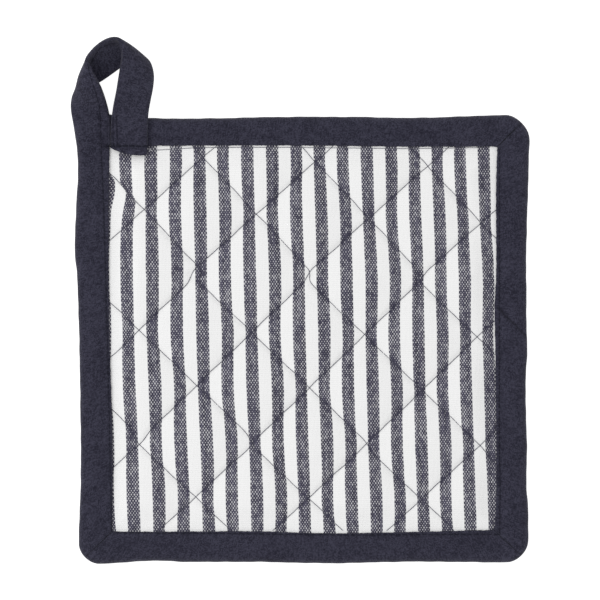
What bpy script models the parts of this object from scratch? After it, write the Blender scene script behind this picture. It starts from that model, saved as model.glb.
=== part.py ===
"""Square quilted pot holder, lying face up on a table. Metres, +Z up.

It has three cloth pieces: the quilted pad, the binding wrapped over the pad's edge, and the hanging
loop, which is the binding's own tail turned over and sewn down on the top edge. The origin is the
middle of the underside, +Y points to the edge with the loop, and all sizes in tables are millimetres.
"""

import math
from collections import namedtuple

import bmesh
import bpy
import numpy as np

MM = 0.001
GAP = 0.3  # clearance that neighbouring pieces keep

# Pad: heights above the table, and the distance over which it swells from the seam
Bounds = namedtuple("Bounds", "left right bottom top")
PAD_OUTLINE = Bounds(-95.4, 97.0, -95.4, 95.6)
PAD_SEAM = Bounds(-83.2, 86.5, -84.4, 86.1)  # the swell starts just inside the binding
PAD_CORNER_CUT = 7.0
PAD_EDGE_LOW = 1.3
PAD_EDGE_HIGH = 4.0
PAD_CHANNEL_LOW = 1.6
PAD_CHANNEL_HIGH = 4.7
PAD_CROWN_LOW = -1.0  # flattened at the table, where it rests
PAD_CROWN_HIGH = 7.4
PAD_SWELL = 9.0
CROWN_FULLNESS = 0.6  # below 1 the diamonds have flat tops and steep sides

# Quilting: lines fall and rise across the pad, each where its phase is a whole number
FIRST_FALL = -5
FIRST_RISE = -2
QUILT_LINES = 9
QUILT_JOG = 8.0  # height over which the lines step from one pass of the sewing to the next
DIAMOND_STEPS = (0.0, 0.1, 0.28, 0.5, 0.72, 0.9)  # mesh rows between two lines

QuiltPass = namedtuple("QuiltPass", "middle_y fall_phase fall_x fall_y rise_phase rise_x rise_y")
QUILT_PASSES = (  # phase at the pad's middle, then the spacing of the lines along x and y
    QuiltPass(-48.2, -0.544, 49.8, 46.5, 2.429, 50.8, -46.7),
    QuiltPass(28.4, -0.619, 49.1, 46.9, 2.497, 51.3, -49.4),
    QuiltPass(math.inf, -0.684, 48.2, 51.0, 2.588, 52.2, -46.5),
)

# Binding: where its fold and its seam run on each side, read smoothly between the rows
Side = namedtuple("Side", "along fold seam")
TOP_SIDE = (
    Side(-90, 98.8, 86.7),
    Side(-45, 98.4, 86.7),
    Side(-10, 99.1, 86.6),
    Side(25, 99.1, 86.5),
    Side(50, 98.7, 86.4),
    Side(90, 100.0, 86.4),
)
RIGHT_SIDE = (
    Side(-88, 100.8, 88.3),
    Side(-65, 99.9, 87.8),
    Side(-49, 100.3, 87.2),
    Side(-18, 99.7, 86.9),
    Side(5, 100.2, 86.9),
    Side(40, 100.0, 86.9),
    Side(67, 100.8, 87.0),
    Side(88, 101.4, 87.4),
)
BOTTOM_SIDE = (
    Side(-88, 99.7, 85.2),
    Side(-67, 98.2, 85.2),
    Side(-20, 99.0, 85.3),
    Side(13, 99.4, 86.2),
    Side(48, 98.7, 85.6),
    Side(85, 99.0, 84.7),
)
LEFT_SIDE = (
    Side(-88, 99.0, 83.5),
    Side(-60, 98.1, 83.6),
    Side(-30, 98.3, 84.2),
    Side(5, 98.9, 85.1),
    Side(29, 99.8, 85.2),
    Side(41, 100.8, 85.2),
    Side(60, 100.1, 85.2),
    Side(80, 99.4, 85.2),
    Side(100, 101.9, 85.2),
)
RIGHT_TOP_RADIUS = 10.5
RIGHT_BOTTOM_RADIUS = 9.0
LEFT_BOTTOM_RADIUS = 8.0
SEAM_CORNER_RADIUS = 0.8
SIDE_STATIONS = 12
CORNER_STATIONS = 7
BINDING_CLOTH = 1.0
MITRE_DIP = 0.5
LEFT_STRIP_END = 98.8  # the left side runs on past the corner and stops where the loop begins

# Binding section from the front seam over the fold to the back seam: share of the width, height
BINDING_SECTION = (
    (1.0, 5.35),
    (0.9, 5.3),
    (0.76, 5.75),
    (0.5, 6.05),
    (0.24, 5.9),
    (0.08, 5.0),
    (0.0, 3.0),
    (0.06, 1.0),
    (0.15, 0.0),
    (1.0, 0.0),
)

# Loop: the strip's two edges and the swell of its face, a row for each section along it, measured
# from the corner where the left strip ends
LOOP_CORNER = (-100.8, 99.0)
LOOP_CLOTH = 2.2
LOOP_STEPS = 60
LOOP_ROWS_ACROSS = 8
Section = namedtuple("Section", "outer_x outer_y outer_z inner_x inner_y inner_z swell")
LOOP_SECTIONS = (
    Section(-0.8, 0.2, 2.7, 15.4, 0.2, 3.1, 0.0),
    Section(-1.4, 4.7, 2.2, 14.0, 6.0, 5.6, 0.7),
    Section(-1.1, 8.3, 1.5, 12.2, 11.6, 9.2, 1.7),
    Section(0.1, 11.2, 1.2, 9.7, 16.7, 10.4, 3.1),
    Section(3.3, 12.6, 1.2, 7.3, 21.2, 10.6, 3.9),
    Section(7.5, 14.0, 1.2, 5.7, 25.4, 10.0, 3.2),
    Section(11.5, 16.0, 1.2, 7.8, 28.7, 9.4, 1.8),
    Section(15.8, 18.8, 1.2, 11.5, 32.2, 9.2, 1.4),
    Section(20.2, 21.8, 1.2, 15.3, 34.3, 9.4, 1.7),
    Section(25.1, 24.5, 1.2, 18.4, 34.9, 10.2, 1.7),
    Section(29.6, 25.8, 1.2, 20.6, 33.9, 11.0, 1.5),
    Section(32.6, 25.3, 1.3, 21.3, 30.7, 11.0, 1.2),
    Section(34.0, 22.5, 1.6, 21.3, 27.2, 10.2, 1.0),
    Section(34.7, 18.5, 2.3, 20.6, 22.7, 9.0, 0.8),
    Section(34.4, 13.6, 3.5, 19.7, 17.6, 8.4, 0.6),
    Section(33.5, 8.3, 5.1, 18.6, 11.4, 8.0, 0.5),
    Section(32.7, 3.4, 6.6, 17.7, 5.6, 7.8, 0.3),
    Section(32.3, -0.7, 7.4, 17.0, 0.0, 7.8, 0.2),
    Section(32.1, -6.4, 7.6, 16.5, -6.2, 7.7, 0.2),
    Section(32.1, -11.3, 7.4, 16.4, -10.9, 7.5, 0.0),
    Section(32.0, -16.5, 6.8, 17.0, -15.0, 6.9, 0.0),
)

STRIPED_COTTON = (0.46, 0.46, 0.50, 1.0)
NAVY_COTTON = (0.034, 0.034, 0.052, 1.0)


def read_rows(rows, at):
    """All columns of a table after its first, at a value of the first, on a smooth curve."""
    table = np.array(rows, float)
    places, values = table[:, 0], table[:, 1:]
    slopes = np.gradient(values, places, axis=0)
    row = int(np.clip(np.searchsorted(places, at) - 1, 0, len(places) - 2))
    span = places[row + 1] - places[row]
    t = float(np.clip((at - places[row]) / span, 0, 1))
    near = (1 + 2 * t) * (1 - t) ** 2 * values[row] + t * (1 - t) ** 2 * span * slopes[row]
    far = t * t * (3 - 2 * t) * values[row + 1] - t * t * (1 - t) * span * slopes[row + 1]
    return near + far


def smooth_step(value):
    t = min(max(value, 0.0), 1.0)
    return t * t * (3 - 2 * t)


def quilt_phases(x, y):
    """Phases of the falling and the rising lines: a line runs wherever one is a whole number."""
    fall = rise = 0.0
    covered = 0.0
    for sewn in QUILT_PASSES:
        reach = smooth_step((sewn.middle_y - y) / QUILT_JOG + 0.5)
        share = max(reach - covered, 0.0)
        covered = max(reach, covered)
        fall += share * (sewn.fall_phase + x / sewn.fall_x + y / sewn.fall_y)
        rise += share * (sewn.rise_phase + x / sewn.rise_x + y / sewn.rise_y)
    return fall, rise


def place_of_phases(fall, rise):
    """The point with the given phases, found by stepping along the middle pass's lines."""
    sewn = QUILT_PASSES[1]
    x_fall, y_fall, x_rise, y_rise = 1 / sewn.fall_x, 1 / sewn.fall_y, 1 / sewn.rise_x, 1 / sewn.rise_y
    determinant = x_fall * y_rise - y_fall * x_rise
    x = y = 0.0
    for _ in range(40):
        now_fall, now_rise = quilt_phases(x, y)
        fall_left, rise_left = fall - now_fall, rise - now_rise
        x += (fall_left * y_rise - rise_left * y_fall) / determinant
        y += (rise_left * x_fall - fall_left * x_rise) / determinant
    return x, y


def inside_seam(x, y):
    """Distance from the point to the seam's nearest side, positive inside it."""
    return min(x - PAD_SEAM.left, PAD_SEAM.right - x, y - PAD_SEAM.bottom, PAD_SEAM.top - y)


def pad_heights(x, y):
    """Heights of the pad's back and front at a point."""
    fall, rise = quilt_phases(x, y)
    crown = abs(math.sin(math.pi * fall) * math.sin(math.pi * rise)) ** CROWN_FULLNESS
    swell = smooth_step(inside_seam(x, y) / PAD_SWELL)
    low = PAD_CHANNEL_LOW + (PAD_CROWN_LOW - PAD_CHANNEL_LOW) * crown
    high = PAD_CHANNEL_HIGH + (PAD_CROWN_HIGH - PAD_CHANNEL_HIGH) * crown
    low = PAD_EDGE_LOW + (low - PAD_EDGE_LOW) * swell
    return max(low, 0.0), PAD_EDGE_HIGH + (high - PAD_EDGE_HIGH) * swell


def clear_scene():
    for thing in list(bpy.data.objects):
        bpy.data.objects.remove(thing, do_unlink=True)


def make_material(name, colour, roughness):
    material = bpy.data.materials.new(name)
    material.use_nodes = True
    shader = material.node_tree.nodes["Principled BSDF"]
    shader.inputs["Base Color"].default_value = colour
    shader.inputs["Roughness"].default_value = roughness
    shader.inputs["Metallic"].default_value = 0.0
    material.diffuse_color = colour
    return material


def add_piece(name, shape, material, collection):
    """Makes the bmesh, in millimetres, a smooth-shaded object in metres."""
    bmesh.ops.scale(shape, vec=(MM, MM, MM), verts=shape.verts)
    mesh = bpy.data.meshes.new(name)
    shape.to_mesh(mesh)
    shape.free()
    mesh.shade_smooth()
    mesh.set_sharp_from_angle(angle=math.radians(50))
    mesh.materials.append(material)
    piece = bpy.data.objects.new(name, mesh)
    collection.objects.link(piece)
    return piece


def cut_square(shape, bounds, trim):
    """Cuts the sheet along the four sides, and drops what lies outside where trim is set."""
    planes = (
        ((bounds.left, 0, 0), (-1, 0, 0)),
        ((bounds.right, 0, 0), (1, 0, 0)),
        ((0, bounds.bottom, 0), (0, -1, 0)),
        ((0, bounds.top, 0), (0, 1, 0)),
    )
    for point, outward in planes:
        cut_line(shape, point, outward, trim)


def cut_line(shape, point, outward, trim):
    everything = shape.verts[:] + shape.edges[:] + shape.faces[:]
    bmesh.ops.bisect_plane(
        shape, geom=everything, plane_co=point, plane_no=outward, clear_outer=trim
    )


def clip_corners(shape, bounds, cut):
    for x, x_side in ((bounds.left, -1), (bounds.right, 1)):
        for y, y_side in ((bounds.bottom, -1), (bounds.top, 1)):
            cut_line(shape, (x - x_side * cut, y, 0), (x_side, y_side, 0), True)


def build_pad(collection):
    """The filled pad: a sheet of diamonds along the quilting lines, given a back and a front."""
    steps = len(DIAMOND_STEPS)
    rows = QUILT_LINES * steps
    shape = bmesh.new()
    bmesh.ops.create_grid(shape, x_segments=rows, y_segments=rows, size=rows / 2)
    for vert in shape.verts:
        across, along = round(vert.co.x + rows / 2), round(vert.co.y + rows / 2)
        fall = FIRST_FALL + across // steps + DIAMOND_STEPS[across % steps]
        rise = FIRST_RISE + along // steps + DIAMOND_STEPS[along % steps]
        vert.co.x, vert.co.y = place_of_phases(fall, rise)
    cut_square(shape, PAD_OUTLINE, True)
    clip_corners(shape, PAD_OUTLINE, PAD_CORNER_CUT)
    cut_square(shape, PAD_SEAM, False)
    back = list(shape.verts)
    thick = bmesh.ops.extrude_face_region(shape, geom=shape.faces[:])
    front = [item for item in thick["geom"] if isinstance(item, bmesh.types.BMVert)]
    for vert in back:
        vert.co.z = pad_heights(vert.co.x, vert.co.y)[0]
    for vert in front:
        vert.co.z = pad_heights(vert.co.x, vert.co.y)[1]
    bmesh.ops.recalc_face_normals(shape, faces=shape.faces[:])
    cotton = make_material("striped_cotton", STRIPED_COTTON, 0.9)
    return add_piece("quilted_pad", shape, cotton, collection)


def side_rays(rows, start, stop, place):
    """Pairs of fold and seam points along a side. start and stop hold each end's (fold, seam) place."""
    rays = []
    for station in range(SIDE_STATIONS + 1):
        share = station / SIDE_STATIONS
        fold_along = start[0] + (stop[0] - start[0]) * share
        seam_along = start[1] + (stop[1] - start[1]) * share
        fold = read_rows(rows, fold_along)[0]
        seam = read_rows(rows, seam_along)[1]
        rays.append((place(fold_along, fold), place(seam_along, seam), 0.0))
    return rays


def corner_rays(fold_centre, fold_radius, seam_centre, first_angle):
    """Pairs of fold and seam points round a mitred corner, a right angle clockwise."""
    rays = []
    for station in range(1, CORNER_STATIONS):
        share = station / CORNER_STATIONS
        angle = math.radians(first_angle - 90 * share)
        out_x, out_y = math.cos(angle), math.sin(angle)
        fold = (fold_centre[0] + fold_radius * out_x, fold_centre[1] + fold_radius * out_y)
        seam = (
            seam_centre[0] + SEAM_CORNER_RADIUS * out_x,
            seam_centre[1] + SEAM_CORNER_RADIUS * out_y,
        )
        on_mitre = max(0.0, 1 - abs(share - 0.5) * 6)
        rays.append((fold, seam, on_mitre * MITRE_DIP))
    return rays


def binding_rays():
    """The binding's run: along the top, down the right, back along the bottom and up the left."""
    tiny = SEAM_CORNER_RADIUS
    end = {}  # where each side's fold and seam reach at each of its ends
    end["top right"] = (RIGHT_SIDE[-1].fold - RIGHT_TOP_RADIUS, RIGHT_SIDE[-1].seam - tiny)
    end["right top"] = (TOP_SIDE[-1].fold - RIGHT_TOP_RADIUS, TOP_SIDE[-1].seam - tiny)
    end["right bottom"] = (-BOTTOM_SIDE[-1].fold + RIGHT_BOTTOM_RADIUS, -BOTTOM_SIDE[-1].seam + tiny)
    end["bottom right"] = (RIGHT_SIDE[0].fold - RIGHT_BOTTOM_RADIUS, RIGHT_SIDE[0].seam - tiny)
    end["bottom left"] = (-LEFT_SIDE[0].fold + LEFT_BOTTOM_RADIUS, -LEFT_SIDE[0].seam + tiny)
    end["left bottom"] = (-BOTTOM_SIDE[0].fold + LEFT_BOTTOM_RADIUS, -BOTTOM_SIDE[0].seam + tiny)
    top_start = -LEFT_SIDE[-1].seam + GAP
    rays = side_rays(TOP_SIDE, (top_start, top_start), end["top right"], lambda s, out: (s, out))
    rays += corner_rays(
        (end["top right"][0], end["right top"][0]),
        RIGHT_TOP_RADIUS,
        (end["top right"][1], end["right top"][1]),
        90,
    )
    rays += side_rays(
        RIGHT_SIDE, end["right top"], end["right bottom"], lambda s, out: (out, s)
    )
    rays += corner_rays(
        (end["bottom right"][0], end["right bottom"][0]),
        RIGHT_BOTTOM_RADIUS,
        (end["bottom right"][1], end["right bottom"][1]),
        0,
    )
    rays += side_rays(
        BOTTOM_SIDE, end["bottom right"], end["bottom left"], lambda s, out: (s, -out)
    )
    rays += corner_rays(
        (end["bottom left"][0], end["left bottom"][0]),
        LEFT_BOTTOM_RADIUS,
        (end["bottom left"][1], end["left bottom"][1]),
        -90,
    )
    left_end = (LEFT_STRIP_END, LEFT_STRIP_END)
    return rays + side_rays(LEFT_SIDE, end["left bottom"], left_end, lambda s, out: (-out, s))


def build_binding(collection):
    """One strip folded over the pad's edge, as an open sheet that Solidify gives its thickness."""
    rays = binding_rays()
    around, across = len(rays) - 1, len(BINDING_SECTION) - 1
    shape = bmesh.new()
    bmesh.ops.create_grid(shape, x_segments=around, y_segments=across, size=1.0)
    for vert in shape.verts:
        station = round((vert.co.x + 1) / 2 * around)
        share, height = BINDING_SECTION[round((vert.co.y + 1) / 2 * across)]
        fold, seam, dip = rays[station]
        vert.co.x = fold[0] + (seam[0] - fold[0]) * share
        vert.co.y = fold[1] + (seam[1] - fold[1]) * share
        vert.co.z = height - dip * (height > PAD_EDGE_HIGH and 0.2 < share < 0.85)
    cotton = make_material("navy_cotton", NAVY_COTTON, 0.85)
    binding = add_piece("edge_binding", shape, cotton, collection)
    return give_thickness(binding, BINDING_CLOTH, -1.0)


def give_thickness(piece, thickness, offset):
    cloth = piece.modifiers.new("cloth", "SOLIDIFY")
    cloth.thickness = thickness * MM
    cloth.offset = offset
    return piece


def loop_point(along, across):
    """A point of the loop's strip: along counts sections, across runs from outer to inner edge."""
    rows = [(index, *section) for index, section in enumerate(LOOP_SECTIONS)]
    step = 0.05
    here = read_rows(rows, along)
    before, after = read_rows(rows, along - step), read_rows(rows, along + step)
    outer, inner, swell = here[:3], here[3:6], here[6]
    forward = (after[:3] + after[3:6]) - (before[:3] + before[3:6])
    face = np.cross(inner - outer, forward)
    face /= np.linalg.norm(face)
    point = outer + (inner - outer) * across + face * swell * 4 * across * (1 - across)
    return point + np.array((*LOOP_CORNER, 0.0))


def build_loop(collection):
    """The hanging loop: the strip turned on its side and over, back down onto the top edge."""
    last = len(LOOP_SECTIONS) - 1
    shape = bmesh.new()
    bmesh.ops.create_grid(shape, x_segments=LOOP_STEPS, y_segments=LOOP_ROWS_ACROSS, size=1.0)
    for vert in shape.verts:
        vert.co = loop_point((vert.co.x + 1) / 2 * last, (vert.co.y + 1) / 2)
    cotton = make_material("navy_loop_cotton", NAVY_COTTON, 0.85)
    loop = add_piece("hanging_loop", shape, cotton, collection)
    return give_thickness(loop, LOOP_CLOTH, 0.0)


def main():
    clear_scene()
    pot_holder = bpy.data.collections.new("pot_holder")
    bpy.context.scene.collection.children.link(pot_holder)
    build_pad(pot_holder)
    build_binding(pot_holder)
    build_loop(pot_holder)


main()
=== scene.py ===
"""Quilted pot holder with a bound edge and a hanging loop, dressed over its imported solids.

Two cloth pieces take the place of the three CAD nodes: a filled pad in striped cotton, and one long
strip of navy cotton that wraps the pad's edge and runs on as the hanging loop. The sewing is modelled
as thread. Tables and sizes are millimetres in the row's frame, and each finished piece is in metres.
"""

import logging
import math
from dataclasses import dataclass, field
from enum import Enum
from typing import Any, Callable, Iterable, NamedTuple, Sequence

import bmesh
import bpy
import numpy as np
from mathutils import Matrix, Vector
from mathutils.bvhtree import BVHTree
from mathutils.kdtree import KDTree


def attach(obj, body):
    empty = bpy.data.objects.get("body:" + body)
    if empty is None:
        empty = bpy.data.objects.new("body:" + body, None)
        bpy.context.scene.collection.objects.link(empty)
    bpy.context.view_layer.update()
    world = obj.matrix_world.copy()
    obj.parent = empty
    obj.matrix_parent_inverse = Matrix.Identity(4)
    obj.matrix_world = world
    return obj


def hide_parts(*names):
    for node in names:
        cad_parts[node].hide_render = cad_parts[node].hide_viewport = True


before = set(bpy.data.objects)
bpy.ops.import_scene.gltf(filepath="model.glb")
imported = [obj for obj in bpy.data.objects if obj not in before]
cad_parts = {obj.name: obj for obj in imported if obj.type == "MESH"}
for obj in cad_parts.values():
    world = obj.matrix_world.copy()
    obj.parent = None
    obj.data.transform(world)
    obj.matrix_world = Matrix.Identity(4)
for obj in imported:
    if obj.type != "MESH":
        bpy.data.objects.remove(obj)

LOG = logging.getLogger("pot_holder")
MM = 0.001
BODY = "root"

# The photograph: pixels across, what one pixel spans, and the pixel of the row's origin
PHOTO_PIXELS = 600
PIXEL = 0.4454
ORIGIN_PIXEL = (301.4, 339.8)

# The camera, and the height at which a pixel spans exactly that much
LENS = 200.0
SENSOR = 36.0
FOCAL_HEIGHT = 5.0

WAVES = ((1.0, 1.0), (1.7, 2.3), (2.9, 4.1))  # a wobble's three waves: pace, and share of the seed
MERGED = 0.001  # points closer than this are one

Place = tuple[float, float]
Path = Sequence[Place]
Colour = tuple[float, float, float, float]
Placer = Callable[[float, float], Place]


# --- Rows of the tables ------------------------------------------------------------------------


class Bounds(NamedTuple):
    """A rectangle's four sides."""

    left: float
    right: float
    bottom: float
    top: float


class Lines(NamedTuple):
    """One family of quilting lines: its phase at the origin, and its spacings along x and y."""

    phase: float
    across: float
    up: float

    def at(self, x: Any, y: Any) -> Any:
        """Phase at a place: a line runs wherever it is whole."""
        return self.phase + x / self.across + y / self.up

    def x_of(self, number: int, y: float) -> float:
        """Where across the pad a numbered line is at a height."""
        return (number - self.phase - y / self.up) * self.across


class QuiltPass(NamedTuple):
    """One pass of the quilting: its top, that top's slope, and its two families of lines."""

    top: float
    slope: float
    falling: Lines
    rising: Lines


class Pull(NamedTuple):
    """Where the quilting has drawn the stripes aside.

    The reach is how far around it shows, aside is how far right it goes, and past_line is the share
    that is kept across a quilting line.
    """

    x: float
    y: float
    reach: float
    aside: float
    past_line: float


class Side(NamedTuple):
    """Where the binding's fold and its seam are at one place along a side."""

    along: float
    fold: float
    seam: float


class Edge(NamedTuple):
    """One side of the binding: its rows, how they are turned into place, and its wobbles' seed."""

    rows: tuple[Side, ...]
    place: Placer
    seed: float


class Mitre(NamedTuple):
    """A mitred corner of the binding, a right angle clockwise from its first angle in degrees.

    The fold's radius is pulled in by flat across the corner, and depth is how deep its crease is.
    """

    radius: float
    seam_radius: float
    first_angle: float
    flat: float
    depth: float


class RingPoint(NamedTuple):
    """A point of the strip's section: share of the width, height on the pad, level in the loop."""

    share: float
    height: float
    level: float


class Section(NamedTuple):
    """The loop's two edges, and the swell of its face between them, at one place along it."""

    outer_x: float
    outer_y: float
    outer_z: float
    inner_x: float
    inner_y: float
    inner_z: float
    swell: float


class Patches(NamedTuple):
    """Unevenness of a cloth: its changes per millimetre across and along, and its amount.

    The detail is how finely it is broken up, and shift moves it, so that no two are alike.
    """

    across: float
    along: float
    amount: float
    detail: float = 2.0
    shift: float = 0.0


class Dents(NamedTuple):
    """Slow dents of the filling: how they lean, how far apart they are, and their seed."""

    lean: float
    spacing: float
    seed: float

    def at(self, along: Any, beside: Any) -> Any:
        """How far up or down they go at a place."""
        return wander(along + self.lean * beside, self.spacing, self.seed)


# --- Tables ------------------------------------------------------------------------------------


QUILT_PASSES = (
    QuiltPass(-46.6, -0.06, Lines(-0.544, 49.8, 46.5), Lines(2.429, 50.8, -46.7)),
    QuiltPass(28.4, 0.0, Lines(-0.619, 49.1, 46.9), Lines(2.497, 51.3, -49.4)),
    QuiltPass(math.inf, 0.0, Lines(-0.684, 48.2, 51.0), Lines(2.588, 52.2, -46.5)),
)
STRIPE_PULLS = (
    Pull(-80.0, 5.0, 34.0, -0.55, 1.0),
    Pull(30.0, 30.0, 25.0, 0.7, 1.0),
    Pull(75.0, 29.0, 18.0, 0.8, 1.0),
    Pull(-32.0, -60.0, 27.0, 0.55, 1.0),
    Pull(-80.5, 69.0, 11.0, 2.6, 0.0),
)
TOP_SIDE = (
    Side(-87, 100.6, 86.6),
    Side(-82, 99.6, 86.5),
    Side(-73, 98.7, 86.4),
    Side(-45, 98.4, 86.5),
    Side(-10, 99.1, 86.6),
    Side(25, 99.1, 86.3),
    Side(50, 98.7, 86.0),
    Side(90, 100.0, 86.0),
)
RIGHT_SIDE = (
    Side(-88, 100.9, 85.8),
    Side(-77, 100.9, 86.5),
    Side(-65, 100.1, 86.8),
    Side(-49, 100.3, 86.8),
    Side(-20, 99.7, 86.5),
    Side(-6, 100.4, 86.4),
    Side(8, 100.1, 86.1),
    Side(15, 100.1, 86.0),
    Side(28, 100.0, 86.7),
    Side(40, 100.0, 86.8),
    Side(67, 100.8, 86.7),
    Side(88, 101.4, 87.3),
)
BOTTOM_SIDE = (
    Side(-88, 99.7, 85.4),
    Side(-67, 98.3, 85.5),
    Side(-50, 98.8, 85.4),
    Side(-20, 98.8, 85.3),
    Side(13, 99.4, 86.2),
    Side(48, 98.7, 85.6),
    Side(85, 99.0, 84.7),
)
LEFT_SIDE = (
    Side(-88, 99.0, 84.3),
    Side(-60, 98.1, 84.1),
    Side(-30, 98.3, 84.5),
    Side(5, 98.9, 85.6),
    Side(29, 99.8, 85.9),
    Side(41, 100.8, 85.9),
    Side(60, 100.1, 85.8),
    Side(80, 99.4, 85.5),
    Side(100, 101.9, 85.2),
)
LOOP_CORNER = Vector((-100.8, 99.0, 0.0))  # the loop's sections are measured from here
LOOP_SECTIONS = (
    Section(-1.2, 0.2, 2.7, 15.4, 0.2, 3.1, 0.0),
    Section(-1.9, 4.7, 2.2, 14.0, 6.0, 5.6, 0.7),
    Section(-1.6, 8.3, 1.5, 12.2, 11.6, 9.2, 1.6),
    Section(-0.3, 11.2, 1.2, 9.7, 16.7, 10.4, 2.5),
    Section(3.1, 12.9, 1.2, 7.3, 21.2, 10.6, 2.9),
    Section(7.2, 14.5, 1.2, 5.6, 25.4, 10.0, 2.4),
    Section(11.2, 16.6, 1.2, 7.5, 29.1, 9.4, 1.7),
    Section(15.5, 19.5, 1.2, 11.1, 32.6, 9.2, 1.4),
    Section(19.9, 22.6, 1.2, 15.0, 34.7, 9.4, 1.5),
    Section(24.9, 25.1, 1.2, 18.2, 35.0, 10.2, 1.2),
    Section(29.4, 25.9, 1.2, 20.3, 33.7, 11.0, 1.0),
    Section(32.5, 25.2, 1.3, 21.1, 30.5, 11.0, 0.9),
    Section(34.0, 22.5, 1.6, 21.3, 27.2, 10.2, 1.0),
    Section(34.7, 18.5, 2.3, 20.6, 22.7, 9.0, 0.8),
    Section(34.4, 13.6, 3.5, 19.7, 17.6, 8.4, 0.6),
    Section(33.5, 8.3, 5.1, 18.6, 11.4, 8.0, 0.5),
    Section(32.7, 3.4, 6.6, 17.4, 5.6, 7.8, 0.3),
    Section(32.3, -0.7, 7.4, 16.6, 0.0, 7.8, 0.2),
    Section(32.1, -6.4, 7.6, 16.1, -6.2, 7.7, 0.2),
    Section(32.1, -11.3, 7.4, 15.9, -10.0, 7.5, 0.0),
    Section(32.0, -16.5, 6.6, 16.2, -13.6, 6.7, 0.0),
)

# The strip's section as a closed ring, from the front seam over the fold to the back seam, then
# back inside the fold. In the loop its two layers lie together, so the inside runs near level 0.
STRIP_RING = (
    RingPoint(1.0, 4.75, 0.15),
    RingPoint(0.997, 5.1, 0.6),
    RingPoint(0.985, 5.35, 0.9),
    RingPoint(0.955, 5.44, 1.0),
    RingPoint(0.9, 5.46, 1.0),
    RingPoint(0.85, 5.5, 1.0),
    RingPoint(0.8, 5.58, 1.0),
    RingPoint(0.75, 5.7, 1.0),
    RingPoint(0.68, 5.86, 1.0),
    RingPoint(0.6, 5.98, 1.0),
    RingPoint(0.5, 6.05, 1.0),
    RingPoint(0.4, 6.02, 1.0),
    RingPoint(0.3, 5.93, 1.0),
    RingPoint(0.2, 5.68, 1.0),
    RingPoint(0.12, 5.28, 0.98),
    RingPoint(0.065, 4.72, 0.9),
    RingPoint(0.025, 4.05, 0.68),
    RingPoint(0.005, 3.4, 0.36),
    RingPoint(0.0, 2.85, 0.0),
    RingPoint(0.006, 2.3, -0.36),
    RingPoint(0.025, 1.65, -0.68),
    RingPoint(0.06, 0.95, -0.9),
    RingPoint(0.11, 0.32, -0.98),
    RingPoint(0.17, 0.04, -1.0),
    RingPoint(0.3, 0.0, -1.0),
    RingPoint(0.5, 0.0, -1.0),
    RingPoint(0.7, 0.0, -1.0),
    RingPoint(0.88, 0.0, -1.0),
    RingPoint(0.96, 0.02, -1.0),
    RingPoint(0.987, 0.12, -0.9),
    RingPoint(0.998, 0.35, -0.6),
    RingPoint(1.0, 0.62, -0.15),
    RingPoint(0.985, 0.92, -0.06),
    RingPoint(0.85, 1.0, -0.05),
    RingPoint(0.5, 1.0, -0.05),
    RingPoint(0.2, 1.05, -0.05),
    RingPoint(0.1, 1.8, -0.03),
    RingPoint(0.08, 2.95, 0.0),
    RingPoint(0.1, 4.0, 0.03),
    RingPoint(0.2, 4.7, 0.05),
    RingPoint(0.5, 5.05, 0.05),
    RingPoint(0.8, 4.55, 0.05),
    RingPoint(0.95, 4.4, 0.05),
    RingPoint(0.99, 4.5, 0.08),
)

# Rows of stitches that show on the strip
LEFT_AND_LOOP = (
    (-94.8, 122.0), (-93.9, 117.9), (-92.5, 113.5), (-91.3, 109.7), (-90.0, 104.6),
    (-89.3, 91.2), (-88.8, 76.5), (-88.1, 62.3), (-87.5, 40.0), (-86.9, 17.7),
    (-86.1, -9.0), (-85.5, -40.2), (-84.8, -71.4), (-84.6, -86.0),
)
ALONG_BOTTOM = ((-83.0, -85.9), (-30.0, -86.3), (20.0, -87.0), (62.0, -86.6), (88.0, -86.6))
ALONG_RIGHT = ((88.2, 85.0), (88.1, 40.0), (88.2, 0.0), (88.1, -40.0), (88.5, -66.0), (88.3, -86.0))
LOOP_END_OUTER = ((-83.7, 99.5), (-83.7, 92.0), (-83.6, 86.2))
LOOP_END_INNER = ((-82.2, 100.2), (-81.9, 92.0), (-81.8, 86.2))
INSIDE_LOOP = ((-93.5, 123.5), (-89.7, 129.5), (-85.2, 131.5), (-81.9, 132.1))
STRIP_ROWS = (LEFT_AND_LOOP, ALONG_BOTTOM, ALONG_RIGHT, LOOP_END_OUTER, LOOP_END_INNER, INSIDE_LOOP)
LOOP_END_ROW = ((-88.4, 86.2), (-84.0, 86.0), (-78.0, 86.3), (-72.0, 86.0), (-68.3, 86.2))

# Cut ends of yarn that stick out below the top binding, beside the loop's end
YARN_ENDS = (
    ((-67.7, 85.2), (-67.3, 84.5), (-66.3, 84.2)),
    ((-65.2, 86.2), (-64.7, 85.5), (-63.8, 84.6)),
    ((-56.5, 86.5), (-57.1, 85.7), (-57.4, 84.6)),
    ((-53.2, 86.5), (-54.0, 85.6), (-54.2, 84.7)),
)
STRIP_JOIN = ((87.4, 14.3), (100.4, 1.3))  # a slanted seam joins two lengths of the strip
# Painted shadow: along this edge the strip is also darkened, beside the loop's end.
LOOP_EDGE = ((-85.1, 100.4), (-84.9, 93.0), (-84.7, 86.3))  # the loop's end presses the strip down


# --- Small helpers -----------------------------------------------------------------------------


def smooth_step(value: Any) -> Any:
    """Rises smoothly from 0 to 1 as the value, a number or an array, goes from 0 to 1."""
    share = np.clip(value, 0.0, 1.0)
    return share * share * (3 - 2 * share)


def bell(distance: Any, width: Any) -> Any:
    """A smooth hump: 1 at distance 0, about a third at its width, and nothing far away."""
    return np.exp(-((distance / width) ** 2))


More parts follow.
